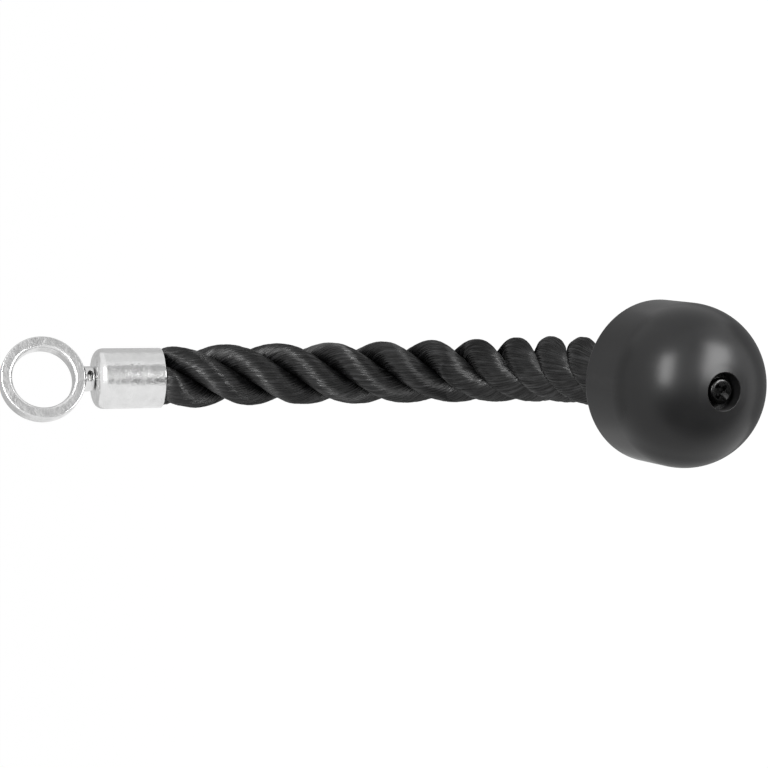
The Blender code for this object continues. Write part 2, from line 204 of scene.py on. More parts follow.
# Camera
CAMERA_PLACE = (-0.2938, -1.0573, 0.1790)
PICTURE_RIGHT = Vector((-0.0926, -0.2888, -0.9529))
PICTURE_UP = Vector((0.9634, -0.2677, -0.0125))
PICTURE_BACK = Vector((-0.2515, -0.9192, 0.3030))
CAMERA_LENS = 108.8
CAMERA_SENSOR = 36.0
CAMERA_NEAR = 0.01

# Studio
FLOOR_HEIGHT = -0.85
FLOOR_SIZE = 20.0
FLOOR_PALE = 0.80
FLOOR_GLOW = 0.86
FLOOR_SHARE = 0.25
SKY_LEVEL = 0.55

# Lamps round the ball: bearing in picture axes, distance, width, height, level and roll in degrees
SOFT_BOXES = (
    ("key_box", (-0.35, 0.33, 0.88), 1.6, 0.50, 1.05, 13.0, 0.0),
    ("side_box", (0.70, 0.385, 0.60), 0.48, 0.24, 0.34, 11.0, -28.0),
    ("fill_box", (0.61, -0.15, 0.78), 0.30, 0.05, 0.20, 6.5, 0.0),
)

# Glowing cards that only the ball and the metal end mirror, painted reflections both pale and dark that no
# lamp or body casts: bearing, distance, width, height, grey and feathering
BALL_CARDS = (
    ("screw_card", (0.84, -0.15, 0.52), 0.22, 0.19, 0.19, 0.01, 0.35),
    ("low_card", (0.35, -0.55, 0.76), 0.12, 0.46, 0.19, 0.0, 0.65),
    ("top_card", (0.10, 0.95, -0.30), 0.13, 0.14, 0.12, 0.75, 0.0),
    ("rim_card", (0.62, 0.20, -0.76), 0.40, 0.55, 0.55, 0.27, 0.0),
    ("under_card", (0.0, -0.70, -0.71), 0.30, 0.40, 0.34, 0.54, 0.35),
    ("collar_card", (-0.40, 0.42, -0.82), 0.15, 0.17, 0.16, 0.40, 0.0),
    ("back_card", (-0.756, 0.1, -0.647), 1.2, 1.7, 1.6, 0.60, 0.0),
)
METAL_CARDS = (
    ("high_card", (0.0, 0.75, -0.66), 1.5, 1.4, 0.9, 0.64, 0.0),
    ("upper_card", (0.16, 0.98, -0.06), 1.5, 1.4, 0.8, 0.84, 0.0),
    ("middle_card", (0.525, 0.342, 0.779), 2.4, 0.67, 2.77, 0.37, 0.0),
)

# Finishes: cells of each pattern to the metre, or to one turn of a strand, and depths in metres; greys and
# roughness run from the low end of the pattern to its high end
CLOUD_ENDS = (0.3, 0.7)
PLATE_BLOOM_CELLS = 160
PLATE_BLOOM_STOPS = (0.34, 0.66)
PLATE_RIPPLE_CELLS = 260
PLATE_RIPPLE_DEPTH = 0.00026
PLATE_GRAIN_CELLS = 1500
PLATE_GRAIN_DEPTH = 0.000012
CAP_GREYS = (0.70, 0.77)
CAP_ROUGHNESS = (0.26, 0.15)
RING_GREYS = (0.60, 0.75)
RING_ROUGHNESS = (0.28, 0.17)
ZINC_BLOOM_CELLS = 400
ZINC_COLOURS = ((0.34, 0.34, 0.35), (0.58, 0.58, 0.57))
ZINC_ROUGHNESS = (0.5, 0.3)
ZINC_GRAIN_CELLS = 1800
ZINC_GRAIN_DEPTH = 0.00001
YARN_SPECULAR = 0.62
YARN_GLOSS = 1.0
YARN_TURN = 0.092
YARN_STREAK_CELLS = (27, 38, 1)
YARN_STREAK_STOPS = (0.36, 0.56, 0.72)
YARN_COLOURS = ((0.0008, 0.0008, 0.0009), (0.0022, 0.0022, 0.0024), (0.015, 0.015, 0.016))
YARN_ROUGH_ENDS = (0.40, 0.62)
YARN_ROUGHNESS = (0.60, 0.33)
YARN_STREAK_DEPTH = 0.00105
YARN_FIBRE_CELLS = (150, 120, 1)
YARN_FIBRE_DEPTH = 0.00006
BALL_SPECULAR = 0.29
BALL_HAZE_CELLS = 45
BALL_COLOURS = ((0.0092, 0.0092, 0.0095), (0.0122, 0.0122, 0.0125))
BALL_ROUGHNESS = (0.27, 0.32)
BALL_GRAIN_CELLS = 1900
BALL_GRAIN_DEPTH = 0.00001
BLACK_WEAR_CELLS = 900
BLACK_COLOURS = ((0.018, 0.018, 0.018), (0.048, 0.048, 0.048))
BLACK_ROUGHNESS = (0.30, 0.20)
BLACK_GRAIN_CELLS = 2500
BLACK_GRAIN_DEPTH = 0.000008


# Camera, lamps and floor

def place_camera():
    data = bpy.data.cameras.new("studio_camera")
    data.lens = CAMERA_LENS
    data.sensor_width = CAMERA_SENSOR
    data.clip_start = CAMERA_NEAR
    camera = bpy.data.objects.new("studio_camera", data)
    bpy.context.scene.collection.objects.link(camera)
    turn = Matrix((PICTURE_RIGHT, PICTURE_UP, PICTURE_BACK)).transposed().to_4x4()
    camera.matrix_world = Matrix.Translation(CAMERA_PLACE) @ turn
    bpy.context.scene.camera = camera


def facing(target, bearing, distance):
    """A place at a bearing in picture axes from the target, with its +Z away from the target."""
    away = (PICTURE_RIGHT * bearing[0] + PICTURE_UP * bearing[1] + PICTURE_BACK * bearing[2]).normalized()
    right = PICTURE_UP.cross(away).normalized()
    turn = Matrix((right, away.cross(right), away)).transposed().to_4x4()
    return Matrix.Translation(Vector(target) + away * distance) @ turn


def soft_box(target, name, bearing, distance, width, height, level, roll_deg):
    data = bpy.data.lights.new(name, "AREA")
    data.shape = "RECTANGLE"
    data.size = width
    data.size_y = height
    data.energy = level * pi * width * height
    lamp = bpy.data.objects.new(name, data)
    bpy.context.scene.collection.objects.link(lamp)
    lamp.matrix_world = facing(target, bearing, distance) @ Matrix.Rotation(radians(roll_deg), 4, "Z")
    lamp.visible_camera = False


def painted_reflection_card(target, name, bearing, distance, width, height, grey, feather):
    """A glowing grey card that only reflections see, a painted reflection with no body behind it; feathered,
    it is oval and thins out towards its edge.
    """
    material = bpy.data.materials.new(name)
    material.use_nodes = True
    tree = material.node_tree
    tree.nodes.clear()
    glow = add_node(tree, "ShaderNodeEmission", {"Color": (grey, grey, grey, 1), "Strength": 1.0})
    output = add_node(tree, "ShaderNodeOutputMaterial")
    if feather:
        centred = place_on(tree, "UV", (2, 2, 1), (-1, -1, 0))
        oval = add_node(tree, "ShaderNodeTexGradient", gradient_type="SPHERICAL")
        tree.links.new(centred, oval.inputs["Vector"])
        mix = add_node(tree, "ShaderNodeMixShader")
        tree.links.new(spread(tree, oval.outputs["Fac"], (0, feather), (0, 1)), mix.inputs["Fac"])
        tree.links.new(add_node(tree, "ShaderNodeBsdfTransparent").outputs[0], mix.inputs[1])
        tree.links.new(glow.outputs[0], mix.inputs[2])
        tree.links.new(mix.outputs[0], output.inputs["Surface"])
    else:
        tree.links.new(glow.outputs[0], output.inputs["Surface"])
    shape = bmesh.new()
    shape.loops.layers.uv.new("card_face")
    bmesh.ops.create_grid(shape, x_segments=1, y_segments=1, size=0.5, calc_uvs=True)
    bmesh.ops.scale(shape, verts=shape.verts, vec=(width, height, 1))
    bmesh.ops.transform(shape, matrix=facing(target, bearing, distance), verts=shape.verts)
    card = new_object(name, shape, material)
    card.visible_camera = False
    card.visible_diffuse = False
    card.visible_transmission = False
    card.visible_shadow = False


def seen_rays(tree):
    """1 for the rays that see the background: from the camera, in gloss and through glass."""
    rays = add_node(tree, "ShaderNodeLightPath")
    first = add_node(tree, "ShaderNodeMath", operation="MAXIMUM")
    tree.links.new(rays.outputs["Is Camera Ray"], first.inputs[0])
    tree.links.new(rays.outputs["Is Glossy Ray"], first.inputs[1])
    second = add_node(tree, "ShaderNodeMath", operation="MAXIMUM")
    tree.links.new(first.outputs[0], second.inputs[0])
    tree.links.new(rays.outputs["Is Transmission Ray"], second.inputs[1])
    return second.outputs[0]


def light_sky():
    world = bpy.data.worlds.new("white_studio")
    bpy.context.scene.world = world
    world.use_nodes = True
    tree = world.node_tree
    level = add_node(tree, "ShaderNodeMapRange", {"To Min": SKY_LEVEL, "To Max": 1.0})
    tree.links.new(seen_rays(tree), level.inputs["Value"])
    tree.links.new(level.outputs["Result"], tree.nodes["Background"].inputs["Strength"])
    tree.nodes["Background"].inputs["Color"].default_value = (1, 1, 1, 1)


def lay_floor():
    material = bpy.data.materials.new("pale_floor")
    material.use_nodes = True
    tree = material.node_tree
    tree.nodes.clear()
    pale = (FLOOR_PALE, FLOOR_PALE, FLOOR_PALE, 1)
    matt = add_node(tree, "ShaderNodeBsdfDiffuse", {"Color": pale})
    shaded = (FLOOR_SHARE, FLOOR_SHARE, FLOOR_SHARE, 1)
    shadow = add_node(tree, "ShaderNodeBsdfDiffuse", {"Color": shaded})
    glow = add_node(tree, "ShaderNodeEmission", {"Strength": FLOOR_GLOW})
    seen = add_node(tree, "ShaderNodeAddShader")
    tree.links.new(shadow.outputs[0], seen.inputs[0])
    tree.links.new(glow.outputs[0], seen.inputs[1])
    mix = add_node(tree, "ShaderNodeMixShader")
    tree.links.new(seen_rays(tree), mix.inputs["Fac"])
    tree.links.new(matt.outputs[0], mix.inputs[1])
    tree.links.new(seen.outputs[0], mix.inputs[2])
    output = add_node(tree, "ShaderNodeOutputMaterial")
    tree.links.new(mix.outputs[0], output.inputs["Surface"])
    shape = bmesh.new()
    bmesh.ops.create_grid(shape, x_segments=1, y_segments=1, size=FLOOR_SIZE / 2)
    bmesh.ops.translate(shape, verts=shape.verts, vec=(0, 0, FLOOR_HEIGHT))
    floor = new_object("pale_floor", shape, material)


def light_studio():
    light_sky()
    lay_floor()
    grip = ball_frame() @ Vector((0, 0, -BALL_COLLAR))
    eye = Vector((0, 0, CAP_TOP))
    for box in SOFT_BOXES:
        soft_box(grip, *box)
    # painted reflections: glowing cards that only the gloss of the ball and the metal end shows
    for card in BALL_CARDS:
        painted_reflection_card(grip, *card)
    for card in METAL_CARDS:
        painted_reflection_card(eye, *card)


# Materials

def add_node(tree, kind, inputs=None, **settings):
    node = tree.nodes.new(kind)
    for key, value in settings.items():
        setattr(node, key, value)
    for key, value in (inputs or {}).items():
        node.inputs[key].default_value = value
    return node


def new_finish(name, **sockets):
    """A material with its Principled shader's sockets set, and its node tree and shader."""
    material = bpy.data.materials.new(name)
    material.use_nodes = True
    tree = material.node_tree
    shader = tree.nodes["Principled BSDF"]
    for key, value in sockets.items():
        shader.inputs[key.replace("_", " ")].default_value = value
    return material, tree, shader


def place_on(tree, output="Object", scale=(1, 1, 1), shift=(0, 0, 0)):
    """Coordinates of the piece itself, stretched by a Mapping node."""
    source = add_node(tree, "ShaderNodeTexCoord")
    mapping = add_node(tree, "ShaderNodeMapping", {"Scale": scale, "Location": shift})
    tree.links.new(source.outputs[output], mapping.inputs["Vector"])
    return mapping.outputs["Vector"]


def cloud(tree, place, scale, detail=2.0, roughness=0.5):
    node = add_node(tree, "ShaderNodeTexNoise", {"Scale": scale, "Detail": detail, "Roughness": roughness})
    tree.links.new(place, node.inputs["Vector"])
    return node.outputs["Fac"]


def spread(tree, value, ends, levels):
    """Stretches a value between two ends over two levels, and holds it there."""
    node = add_node(tree, "ShaderNodeMapRange", {"From Min": ends[0], "From Max": ends[1],
                                                 "To Min": levels[0], "To Max": levels[1]})
    tree.links.new(value, node.inputs["Value"])
    return node.outputs["Result"]


def shades(tree, value, stops, colours):
    """Colours a value by the colours at its stops."""
    node = add_node(tree, "ShaderNodeValToRGB")
    ramp = node.color_ramp
    while len(ramp.elements) < len(stops):
        ramp.elements.new(0.5)
    for element, position, colour in zip(ramp.elements, stops, colours):
        element.position = position
        element.color = (*colour, 1)
    tree.links.new(value, node.inputs["Fac"])
    return node.outputs["Color"]


def blotched(tree, shader, pattern, stops, colours, ends, roughness):
    """One pattern sets both the colour and the roughness of a finish."""
    tree.links.new(shades(tree, pattern, stops, colours), shader.inputs["Base Color"])
    tree.links.new(spread(tree, pattern, ends, roughness), shader.inputs["Roughness"])


def relief(tree, shader, layers):
    """Chains bumps of (height, depth in metres) and gives the last to the shader."""
    before = None
    for height, depth in layers:
        node = add_node(tree, "ShaderNodeBump", {"Strength": 1.0, "Distance": depth})
        tree.links.new(height, node.inputs["Height"])
        if before:
            tree.links.new(before, node.inputs["Normal"])
        before = node.outputs["Normal"]
    tree.links.new(before, shader.inputs["Normal"])


def plated_finish(name, greys, roughness):
    """Bright plating, with blooms that are greyer and duller than the bare plating."""
    material, tree, shader = new_finish(name, Metallic=1.0)
    place = place_on(tree)
    blooms = cloud(tree, place, PLATE_BLOOM_CELLS, detail=4, roughness=0.6)
    colours = [(grey, grey, grey) for grey in greys]
    blotched(tree, shader, blooms, PLATE_BLOOM_STOPS, colours, CLOUD_ENDS, roughness)
    ripples = cloud(tree, place, PLATE_RIPPLE_CELLS, detail=3, roughness=0.6)
    grains = cloud(tree, place, PLATE_GRAIN_CELLS, detail=3)
    relief(tree, shader, ((ripples, PLATE_RIPPLE_DEPTH), (grains, PLATE_GRAIN_DEPTH)))
    return material


def zinc_finish():
    material, tree, shader = new_finish("zinc_steel_finish", Metallic=1.0)
    place = place_on(tree)
    blooms = cloud(tree, place, ZINC_BLOOM_CELLS, detail=4)
    blotched(tree, shader, blooms, CLOUD_ENDS, ZINC_COLOURS, CLOUD_ENDS, ZINC_ROUGHNESS)
    relief(tree, shader, ((cloud(tree, place, ZINC_GRAIN_CELLS), ZINC_GRAIN_DEPTH),))
    return material


def rope_finish():
    """Black filament yarn: its UV runs round the strand and along the yarns."""
    material, tree, shader = new_finish("rope_black_finish", Specular_IOR_Level=YARN_SPECULAR,
                                        Anisotropic=YARN_GLOSS, Anisotropic_Rotation=YARN_TURN)
    round_strand = add_node(tree, "ShaderNodeTangent", direction_type="UV_MAP")
    tree.links.new(round_strand.outputs["Tangent"], shader.inputs["Tangent"])
    streaks = cloud(tree, place_on(tree, "UV", YARN_STREAK_CELLS), 1.0, roughness=0.6)
    fibres = cloud(tree, place_on(tree, "UV", YARN_FIBRE_CELLS), 1.0)
    blotched(tree, shader, streaks, YARN_STREAK_STOPS, YARN_COLOURS, YARN_ROUGH_ENDS, YARN_ROUGHNESS)
    relief(tree, shader, ((streaks, YARN_STREAK_DEPTH), (fibres, YARN_FIBRE_DEPTH)))
    return material


def ball_finish():
    material, tree, shader = new_finish("ball_plastic_finish", Specular_IOR_Level=BALL_SPECULAR)
    place = place_on(tree)
    haze = cloud(tree, place, BALL_HAZE_CELLS, detail=3)
    blotched(tree, shader, haze, CLOUD_ENDS, BALL_COLOURS, CLOUD_ENDS, BALL_ROUGHNESS)
    relief(tree, shader, ((cloud(tree, place, BALL_GRAIN_CELLS), BALL_GRAIN_DEPTH),))
    return material


def blacked_finish():
    material, tree, shader = new_finish("blacked_steel_finish", Metallic=1.0)
    place = place_on(tree)
    wear = cloud(tree, place, BLACK_WEAR_CELLS, detail=4)
    blotched(tree, shader, wear, CLOUD_ENDS, BLACK_COLOURS, CLOUD_ENDS, BLACK_ROUGHNESS)
    relief(tree, shader, ((cloud(tree, place, BLACK_GRAIN_CELLS), BLACK_GRAIN_DEPTH),))
    return material


# Shapes

def new_object(name, shape, material):
    mesh = bpy.data.meshes.new(name)
    shape.to_mesh(mesh)
    shape.free()
    mesh.shade_smooth()
    mesh.set_sharp_from_angle(angle=radians(SHARP_DEG))
    mesh.materials.append(material)
    thing = bpy.data.objects.new(name, mesh)
    bpy.context.scene.collection.objects.link(thing)
    return thing


def even_flats(thing):
    """Keeps the flats flat beside their rounded edges."""
    normals = thing.modifiers.new("even_flats", "WEIGHTED_NORMAL")
    normals.keep_sharp = True


def set_piece(thing, body, slot, *nodes):
    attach(thing, body)
    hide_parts(*nodes)


def close_up(shape):
    bmesh.ops.remove_doubles(shape, verts=shape.verts, dist=WELD)
    bmesh.ops.recalc_face_normals(shape, faces=shape.faces)
    return shape


def turned(corners, sides, closed=True):
    """Turns an outline of (radius, height, rounding) corners about Z, with its corners rounded first."""
    shape = bmesh.new()
    points = [shape.verts.new((radius, 0, height)) for radius, height, rounding in corners]
    for before, after in zip(points, points[1:]):
        shape.edges.new((before, after))
    if closed:
        shape.edges.new((points[-1], points[0]))
    for point, (radius, height, rounding) in zip(points, corners):
        if rounding:
            bmesh.ops.bevel(shape, geom=[point], offset=rounding, offset_type="OFFSET", segments=ARC_STEPS,
                            profile=0.5, affect="VERTICES", material=-1)
    bmesh.ops.spin(shape, geom=[*shape.verts, *shape.edges], cent=(0, 0, 0), axis=(0, 0, 1),
                   angle=2 * pi, steps=sides, use_merge=True)
    return close_up(shape)


def cylinder(radius, length, sides):
    shape = bmesh.new()
    bmesh.ops.create_cone(shape, cap_ends=True, segments=sides, radius1=radius, radius2=radius, depth=length)
    return shape


def lying_along_y():
    return Matrix.Rotation(pi / 2, 4, "X")


def moved(shape, matrix):
    bmesh.ops.transform(shape, matrix=matrix, verts=shape.verts)
    return shape


def joined(first, second):
    """Both shapes in one, as separate shells."""
    mesh = bpy.data.meshes.new("joined")
    second.to_mesh(mesh)
    second.free()
    first.from_mesh(mesh)
    bpy.data.meshes.remove(mesh)
    return first


def carved(shape, cutters):
    """The shape less its cutters, by an exact Boolean."""
    metal = bpy.data.materials.new("carving")
    body = new_object("carving", shape, metal)
    tools = []
    for cutter in cutters:
        tool = new_object("carving_tool", cutter, metal)
        cut = body.modifiers.new("cut", "BOOLEAN")
        cut.operation = "DIFFERENCE"
        cut.solver = "EXACT"
        cut.object = tool
        tools.append(tool)
    bpy.context.view_layer.update()
    evaluated = body.evaluated_get(bpy.context.evaluated_depsgraph_get())
    result = bmesh.new()
    result.from_mesh(evaluated.to_mesh())
    evaluated.to_mesh_clear()
    for thing in (body, *tools):
        bpy.data.objects.remove(thing, do_unlink=True)
    bpy.data.materials.remove(metal)
    return result


def soften(thing, width):
    bevel = thing.modifiers.new("softened", "BEVEL")
    bevel.width = width
    bevel.segments = SOFT_STEPS
    bevel.limit_method = "ANGLE"
    bevel.angle_limit = radians(SHARP_DEG)
    bevel.use_clamp_overlap = True


# Metal end

def make_ring(metal):
    half = RING_DEPTH / 2
    corners = (
        (RING_BORE_RADIUS, half, RING_BORE_EDGE),
        (RING_RADIUS, half, RING_EDGE),
        (RING_RADIUS, -half, RING_EDGE),
        (RING_BORE_RADIUS, -half, RING_BORE_EDGE),
    )
    ring = new_object("forged_ring", moved(turned(corners, RING_SIDES), lying_along_y()), metal)
    even_flats(ring)
    set_piece(ring, "eye", "plated_steel", "eye_ring")


def make_boss(metal):
    """Threaded boss, saddled to the ring and cross-cut by an oval window."""
    bore = BOLT_RADIUS + FIT
    reach = -RING_RADIUS + RING_WALL / 2
    corners = (
        (bore, reach, 0),
        (BOSS_RADIUS, reach, 0),
        (BOSS_RADIUS, BOSS_FOOT, BOSS_EDGE),
        (bore, BOSS_FOOT, 0),
    )
    saddle = moved(cylinder(RING_RADIUS + SEAT, 2 * BOSS_RADIUS + OVERRUN, RING_SIDES), lying_along_y())
    window = cylinder(WINDOW_WIDTH / 2, 2 * BOSS_RADIUS + OVERRUN, BOSS_SIDES)
    moved(window, Matrix.Diagonal((1, WINDOW_HEIGHT / WINDOW_WIDTH, 1, 1)))
    moved(window, Matrix.Translation((0, 0, (BOSS_FOOT - RING_RADIUS) / 2)) @ lying_along_y())
    boss = new_object("turned_boss", carved(turned(corners, BOSS_SIDES), (saddle, window)), metal)
    soften(boss, WINDOW_EDGE)
    set_piece(boss, "eye", "plated_steel", "eye_boss")


def make_bolt(steel):
    """The swivel bolt, with the thread that the boss's window shows."""
    tip = -RING_RADIUS - FIT
    core = BOLT_RADIUS - THREAD_DEPTH
    corners = (
        (0, tip, 0),
        (core - BOLT_CHAMFER, tip, 0),
        (core, tip - BOLT_CHAMFER, 0),
        (core, CAP_TOP, 0),
        (BOLT_RADIUS, CAP_TOP, 0),
        (BOLT_RADIUS, BOLT_HEAD_TOP - FIT, 0),
        (0, BOLT_HEAD_TOP - FIT, 0),
    )
    shape = turned(corners, SMALL_SIDES, closed=False)
    head = cylinder(BOLT_HEAD_FLATS / 2 / cos(pi / HEX_SIDES), BOLT_HEAD_HEIGHT, HEX_SIDES)
    moved(head, Matrix.Translation((0, 0, (BOLT_HEAD_TOP + BOLT_HEAD_FOOT) / 2)))
    bmesh.ops.bevel(head, geom=head.edges[:], offset=BOLT_HEAD_EDGE, segments=SOFT_STEPS, profile=0.5,
                    affect="EDGES", material=-1)
    joined(shape, head)
    joined(shape, thread_ridge(core, CAP_TOP, tip - BOLT_CHAMFER))
    bolt = new_object("threaded_swivel_bolt", shape, steel)
    set_piece(bolt, "eye", "zinc_steel", "swivel_bolt")


def thread_ridge(core, foot, tip):
    """One ridge wound up the core as a screw thread."""
    ridge = bmesh.new()
    half = THREAD_PITCH / 2
    corners = ((core - THREAD_CREST, -half), (core + THREAD_DEPTH, -THREAD_CREST / 2),
               (core + THREAD_DEPTH, THREAD_CREST / 2), (core - THREAD_CREST, half))
    points = [ridge.verts.new((radius, 0, foot + half + height)) for radius, height in corners]
    for before, after in zip(points, points[1:] + points[:1]):
        ridge.edges.new((before, after))
    steps = round((tip - foot - THREAD_PITCH) / THREAD_PITCH * THREAD_STEPS)
    bmesh.ops.spin(ridge, geom=[*ridge.verts, *ridge.edges], cent=(0, 0, 0), axis=(0, 0, 1),
                   dvec=(0, 0, THREAD_PITCH / THREAD_STEPS), angle=2 * pi * steps / THREAD_STEPS, steps=steps)
    bmesh.ops.holes_fill(ridge, edges=[edge for edge in ridge.edges if edge.is_boundary])
    return close_up(ridge)


def make_cap(metal):
    """A drawn cup, mouth down, with a rounded shoulder and a rolled rim."""
    hole = BOLT_RADIUS + SWIVEL_GAP
    corners = (
        (hole, CAP_TOP, CAP_HOLE_CHAMFER),
        (CAP_RADIUS, CAP_TOP, CAP_CORNER),
        (CAP_RADIUS, CAP_MOUTH, CAP_RIM_EDGE),
        (CAP_BORE_RADIUS, CAP_MOUTH, CAP_RIM_EDGE),
        (CAP_BORE_RADIUS, CAP_FLOOR, CAP_CORNER - CAP_WALL),
        (hole, CAP_FLOOR, 0),
    )
    cap = new_object("drawn_end_cap", turned(corners, CAP_SIDES), metal)
    even_flats(cap)
    set_piece(cap, "cap", "plated_steel", "end_cap")


# Rope

def ball_frame():
    """The ball's place: its collar face on the route's end and its +Z back along the rope."""
    lean = -Vector(BALL_LEAN).normalized()
    turn = Vector((0, 0, 1)).rotation_difference(lean).to_matrix().to_4x4()
    return Matrix.Translation(BALL_PLACE) @ turn


def rope_line():
    """The rope's centre line as points, and the distances along it of the points, the mouth and the face.

    Each knot's handle runs a sixth of the way between the knot's neighbours, so the line bends evenly.
    """
    lean = Vector(BALL_LEAN).normalized()
    ball_place = Vector(BALL_PLACE)
    knots = [Vector((0, 0, ROPE_TOP)), Vector((0, 0, CAP_MOUTH))]
    knots += [Vector(point) for point in ROUTE]
    knots += [ball_place, ball_place - lean * ROPE_FOOT]
    last = len(knots) - 1
    handles = []
    for index in range(last + 1):
        handles.append((knots[min(index + 1, last)] - knots[max(index - 1, 0)]) / HANDLE_PARTS)
    handles[0] = handles[1] = Vector((0, 0, -1)) * handles[1].length
    handles[-1] = handles[-2] = lean * handles[-2].length
    line = [knots[0]]
    for index in range(last):
        piece = geometry.interpolate_bezier(knots[index], knots[index] + handles[index],
                                            knots[index + 1] - handles[index + 1], knots[index + 1],
                                            ROUTE_STEPS)
        line += piece[1:]
    line = np.array(line)
    distances = np.concatenate(((0,), np.cumsum(np.linalg.norm(np.diff(line, axis=0), axis=1))))
    mouth = distances[ROUTE_STEPS - 1]
    face = distances[(last - 1) * (ROUTE_STEPS - 1)]
    return line, distances, mouth, face


def rope_frames(line, distances):
    """Even stations along the rope: their distances, places, and the two directions across the rope."""
    count = round(distances[-1] / STATION_STEP)
    steps = np.linspace(0, distances[-1], count + 1)
    places = np.stack([np.interp(steps, distances, line[:, axis]) for axis in range(3)], axis=1)
    ahead = np.gradient(places, axis=0)
    ahead /= np.linalg.norm(ahead, axis=1)[:, None]
    sides = []
    side = np.array((1.0, 0.0, 0.0))
    for direction in ahead:
        side = side - direction * side.dot(direction)
        side /= np.linalg.norm(side)
        sides.append(side)
    sides = np.array(sides)
    return steps, places, sides, np.cross(ahead, sides)


def bent(points, frames):
    """Lays points of a straight rope, whose z is the distance along it, on the rope's own curve."""
    steps, places, sides, acrosses = frames
    result = np.zeros_like(points)
    for axis in range(3):
        for share, way in ((1, places), (points[:, 0], sides), (points[:, 1], acrosses)):
            result[:, axis] += share * np.interp(points[:, 2], steps, way[:, axis])
    return result


def ease(value):
    value = np.clip(value, 0, 1)
    return value * value * (3 - 2 * value)


def strand_reach(distance, mouth, face):
    """The strand's radius, and its centre's distance from the rope's, along the rope."""
    squeeze = np.clip((distance - mouth) / SQUEEZE_RUN, 0, 1)
    reach = PACKED_RADIUS + (ROPE_RADIUS - PACKED_RADIUS) * (1 - (1 - squeeze) ** 2)
    tucked = ease((distance - face) / SPREAD_RUN)
    share = STRAND_SHARE + (TUCKED_SHARE - STRAND_SHARE) * tucked
    radius = reach * share
    swing = reach - radius
    return radius, swing + (SPREAD_RADIUS - swing) * tucked


def ring_distances(total, mouth, face):
    """Rings close together where the rope shows, and further apart in the cap and the ball."""
    upper = np.linspace(0, mouth - CAP_RIM_EDGE, TUCKED_RINGS)
    free = np.linspace(mouth, face, FREE_RINGS)
    lower = np.linspace(face, total, TUCKED_RINGS + 1)[1:]
    return np.concatenate((upper, free, lower))


def yarn_heights(distances, number):
    """How far each yarn stands out, ring by ring: a rounded ridge each, and a little out of line."""
    ridges = np.tile(np.array(YARN_PROFILE), YARN_COUNT) * YARN_DEPTH - YARN_DEPTH
    heights = np.tile(ridges, (len(distances), 1))
    for ring, distance in enumerate(distances):
        for yarn in range(YARN_COUNT):
            place = (yarn * STRAY_YARN_STEP, distance / STRAY_LENGTH, number * STRAY_STRAND_STEP)
            stray = noise.noise(place) * YARN_STRAY
            first = yarn * len(YARN_PROFILE)
            heights[ring, first:first + len(YARN_PROFILE)] += stray
    return heights[:, np.arange(STRAND_SIDES + 1) % STRAND_SIDES]


def straight_strand(distances, number, mouth, face):
    """Points of one strand, ring by ring, on a straight rope along z."""
    radius, swing = strand_reach(distances, mouth, face)
    phase = radians(LAY_START_DEG) + 2 * pi * ((distances - mouth) / LAY_LENGTH + number / STRAND_COUNT)
    turn = 2 * pi / LAY_LENGTH
    zero = np.zeros_like(phase)
    outwards = np.stack((np.cos(phase), np.sin(phase), zero), axis=1)
    ahead = np.stack((-np.sin(phase) * swing * turn, np.cos(phase) * swing * turn, zero + 1), axis=1)
    ahead /= np.linalg.norm(ahead, axis=1)[:, None]
    sideways = np.cross(ahead, outwards)
    centres = outwards * swing[:, None]
    centres[:, 2] = distances
    around = np.arange(STRAND_SIDES + 1) / STRAND_SIDES
    angles = 2 * pi * around[None, :] - 2 * pi * (distances / YARN_LAY)[:, None]
    radii = radius[:, None] + yarn_heights(distances, number)
    points = centres[:, None, :] + radii[..., None] * (np.cos(angles)[..., None] * outwards[:, None, :]
                                                       + np.sin(angles)[..., None] * sideways[:, None, :])
    return points.reshape(-1, 3)


def pressed(points, number, mouth, face):
    """Flattens a strand against its neighbours, and fills the cap's mouth where the cap squeezes the rope."""
    middle = radians(LAY_START_DEG) + 2 * pi * ((points[:, 2] - mouth) / LAY_LENGTH + number / STRAND_COUNT)
    reach = np.hypot(points[:, 0], points[:, 1])
    lean = np.angle(np.exp(1j * (np.arctan2(points[:, 1], points[:, 0]) - middle)))
    radius, swing = strand_reach(points[:, 2], mouth, face)
    outwards = (reach * np.cos(lean) - swing) / radius
    fading = 1 - ease((points[:, 2] - mouth) / FULL_RUN)
    fullness = MOUTH_FULLNESS * fading * ease(outwards + MOUTH_OVERHANG)
    reach = reach + fullness * np.maximum(radius + swing - reach, 0)
    limit = radians(CONTACT_DEG)
    over = np.abs(lean) > limit
    flat = np.maximum(reach * np.cos(np.abs(lean) - limit), CORE_RADIUS)
    reach = np.where(over, flat, reach)
    angle = middle + np.where(over, np.sign(lean) * limit, lean)
    return np.stack((reach * np.cos(angle), reach * np.sin(angle), points[:, 2]), axis=1)


def strand_shape(points, rings):
    """A grid rolled into a tube: its columns run along the yarns, and its ends are closed."""
    shape = bmesh.new()
    shape.loops.layers.uv.new("yarn_run")
    bmesh.ops.create_grid(shape, x_segments=STRAND_SIDES, y_segments=rings - 1, size=0.5, calc_uvs=True)
    shape.verts.ensure_lookup_table()
    for vert, point in zip(shape.verts, points):
        vert.co = point
    bmesh.ops.remove_doubles(shape, verts=shape.verts, dist=WELD)
    bmesh.ops.holes_fill(shape, edges=[edge for edge in shape.edges if edge.is_boundary])
    bmesh.ops.recalc_face_normals(shape, faces=shape.faces)
    return shape


def make_rope(yarn):
    line, distances, mouth, face = rope_line()
    frames = rope_frames(line, distances)
    rings = ring_distances(distances[-1], mouth, face)
    shape = bmesh.new()
    for number in range(STRAND_COUNT):
        points = pressed(straight_strand(rings, number, mouth, face), number, mouth, face)
        points[:, 2] = np.clip(points[:, 2], 0, distances[-1])
        joined(shape, strand_shape(bent(points, frames), len(rings)))
    rope = new_object("laid_rope", shape, yarn)
    rope.data.set_sharp_from_angle(angle=pi)
    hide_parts("strand_1", "strand_2", "strand_3")
    return rope


# Ball grip

